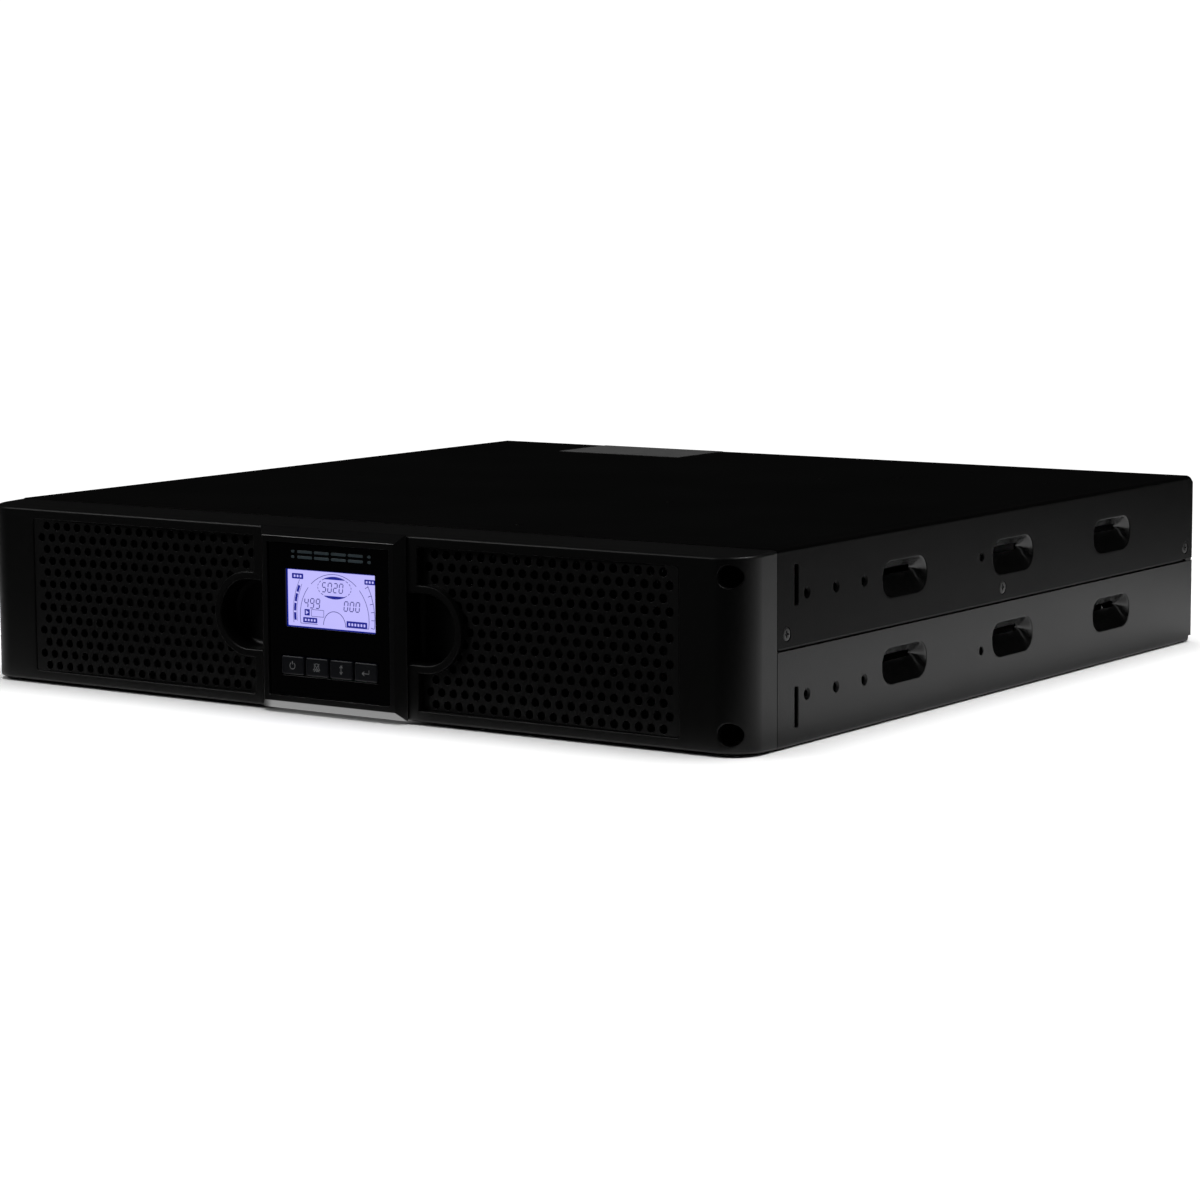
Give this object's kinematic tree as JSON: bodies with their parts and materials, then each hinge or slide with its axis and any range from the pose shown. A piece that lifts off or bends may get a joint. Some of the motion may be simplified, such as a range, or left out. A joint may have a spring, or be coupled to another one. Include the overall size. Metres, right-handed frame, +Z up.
{
  "type": "uninterruptible power supply",
  "caption": "Flat black rack or desk uninterruptible power supply with grilled pull-off front, square display that pulls out and turns, keys, fans, sockets and batteries.",
  "frame": {"origin": "middle of the footprint, on the surface it stands on", "axes": "+X to the right seen from the front, +Y from the front to the rear, +Z up"},
  "size_m": [0.438, 0.4436, 0.0868],
  "materials": {
    "black_steel": "fine-textured black powder coat",
    "bare_steel": "galvanised sheet",
    "screw_steel": "blackened steel",
    "label": "blank printed film",
    "battery_case": "moulded ABS",
    "red_cable": "vinyl",
    "black_cable": "vinyl",
    "circuit_board": "lacquered glass fibre",
    "aluminium": "extruded",
    "capacitor_sleeve": "shrink film",
    "copper_winding": "varnished copper wire",
    "black_plastic": "moulded nylon",
    "bezel_plastic": "fine satin texture",
    "gloss_black": "polished acrylic",
    "screen": "lit, pale violet-blue",
    "key_plastic": "satin, dark blue-grey",
    "green_plastic": "moulded"
  },
  "bodies": {
    "chassis": {"base_chassis": "black_steel", "top_cover": "black_steel", "front_panel": "bare_steel", "bay_divider": "bare_steel", "rear_panel": "black_steel", "cover_screw_right_1": "screw_steel", "cover_screw_left_1": "screw_steel", "cover_screw_right_2": "screw_steel", "cover_screw_left_2": "screw_steel", "cover_screw_right_3": "screw_steel", "cover_screw_left_3": "screw_steel", "rating_label": "label", "battery_door": "bare_steel", "battery_box": "bare_steel", "battery_1": "battery_case", "battery_2": "battery_case", "battery_3": "battery_case", "battery_4": "battery_case", "battery_link_front": "black_cable", "battery_link_middle": "black_cable", "battery_link_rear": "black_cable", "battery_lead_black": "black_cable", "battery_lead_red": "red_cable", "main_board": "circuit_board", "heatsink_inner": "aluminium", "heatsink_outer": "aluminium", "bus_capacitor_1": "capacitor_sleeve", "bus_capacitor_2": "capacitor_sleeve", "charger_transformer": "copper_winding", "control_board": "circuit_board", "boost_inductor": "copper_winding", "output_inductor": "copper_winding", "fan_frame_inner": "black_plastic", "fan_frame_outer": "black_plastic", "fan_guard_inner": "bare_steel", "fan_guard_outer": "bare_steel", "outlet_bank_lower": "black_plastic", "outlet_bank_upper": "black_plastic", "mains_inlet": "black_plastic", "breaker": "black_plastic", "serial_port": "bare_steel", "usb_port": "bare_steel", "network_ports": "black_plastic", "epo_terminal": "green_plastic", "slot_cover": "black_steel"},
    "fan_inner": {"fan_rotor_inner": "black_plastic"},
    "fan_outer": {"fan_rotor_outer": "black_plastic"},
    "breaker_reset": {"breaker_button": "black_plastic"},
    "bezel": {"front_bezel": "bezel_plastic", "grille_left": "bezel_plastic", "grille_right": "bezel_plastic"},
    "display_slide": {"display_ring": "bezel_plastic"},
    "display": {"display_frame": "bezel_plastic", "display_glass": "gloss_black", "lcd_panel": "screen", "display_board": "circuit_board"},
    "key_power": {"button_power": "key_plastic"},
    "key_mute": {"button_mute": "key_plastic"},
    "key_scroll": {"button_scroll": "key_plastic"},
    "key_enter": {"button_enter": "key_plastic"}
  },
  "joints": [
    {"name": "bezel_pull", "type": "slide", "parent": "chassis", "child": "bezel", "axis": [0, -1, 0], "range_m": [0, 0.06]},
    {"name": "display_pull", "type": "slide", "parent": "bezel", "child": "display_slide", "axis": [0, -1, 0], "range_m": [0, 0.012]},
    {"name": "display_turn", "type": "hinge", "parent": "display_slide", "child": "display", "pos_m": [0, -0.20915, 0.04325], "axis": [0, 1, 0], "range_deg": [0, 90]},
    {"name": "power_press", "type": "slide", "parent": "display", "child": "key_power", "axis": [0, 1, 0], "range_m": [0, 0.0008], "stiffness_N_per_m": 900},
    {"name": "mute_press", "type": "slide", "parent": "display", "child": "key_mute", "axis": [0, 1, 0], "range_m": [0, 0.0008], "stiffness_N_per_m": 900},
    {"name": "scroll_press", "type": "slide", "parent": "display", "child": "key_scroll", "axis": [0, 1, 0], "range_m": [0, 0.0008], "stiffness_N_per_m": 900},
    {"name": "enter_press", "type": "slide", "parent": "display", "child": "key_enter", "axis": [0, 1, 0], "range_m": [0, 0.0008], "stiffness_N_per_m": 900},
    {"name": "fan_spin_inner", "type": "hinge", "parent": "chassis", "child": "fan_inner", "pos_m": [0.086, 0.20235, 0.04325], "axis": [0, 1, 0], "continuous": true},
    {"name": "fan_spin_outer", "type": "hinge", "parent": "chassis", "child": "fan_outer", "pos_m": [0.168, 0.20235, 0.04325], "axis": [0, 1, 0], "continuous": true},
    {"name": "breaker_trip", "type": "slide", "parent": "chassis", "child": "breaker_reset", "axis": [0, 1, 0], "range_m": [0, 0.003]}
  ]
}
